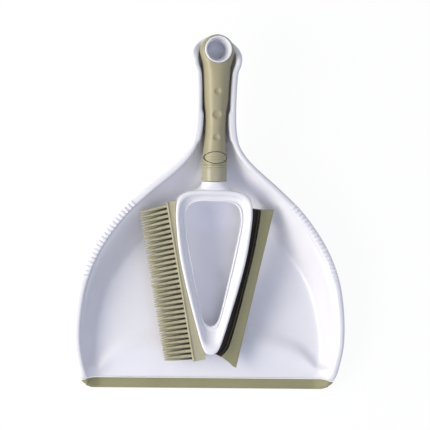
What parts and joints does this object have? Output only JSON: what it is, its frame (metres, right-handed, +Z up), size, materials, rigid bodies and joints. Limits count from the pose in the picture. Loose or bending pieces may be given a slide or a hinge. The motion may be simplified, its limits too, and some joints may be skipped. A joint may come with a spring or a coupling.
{
  "type": "dustpan and brush",
  "caption": "Bell-shaped dustpan with a soft lip and channel handle, holding a hand brush whose open head has bristles on one side and a squeegee on the other.",
  "frame": {"origin": "on the floor under the middle of the dustpan's outline", "axes": "+X across the pan, +Y from the lip to the end of the handle, +Z up, with the pan lying flat and the brush in its channel"},
  "size_m": [0.2448, 0.3152, 0.0606],
  "materials": {
    "white_plastic": "smooth moulded polypropylene with a soft gloss",
    "sage_rubber": "satin thermoplastic rubber",
    "sage_plastic": "satin moulded plastic",
    "spring_steel": "cold-rolled spring steel"
  },
  "bodies": {
    "pan": {"pan_shell": "white_plastic", "lip_strip": "sage_rubber"},
    "handle": {"handle_core": "white_plastic", "grip_sleeve": "sage_rubber", "socket_collar": "sage_plastic", "catch_spring": "spring_steel"},
    "button": {"release_button": "sage_plastic"},
    "head": {"head_frame": "white_plastic", "bristle_bar": "sage_rubber", "squeegee_blade": "sage_rubber"}
  },
  "joints": [
    {"name": "brush_lift", "type": "slide", "parent": "pan", "child": "handle", "axis": [0, 0, 1], "range_m": [0, 0.12]},
    {"name": "button_press", "type": "slide", "parent": "handle", "child": "button", "axis": [0, 0.1143, -0.9935], "range_m": [0, 0.0018], "stiffness_N_per_m": 2500, "springref_m": -0.001, "deforming": ["catch_spring"]},
    {"name": "head_pull", "type": "slide", "parent": "handle", "child": "head", "axis": [0, -0.9935, -0.1143], "range_m": [0, 0.04], "deforming": ["catch_spring"]}
  ]
}
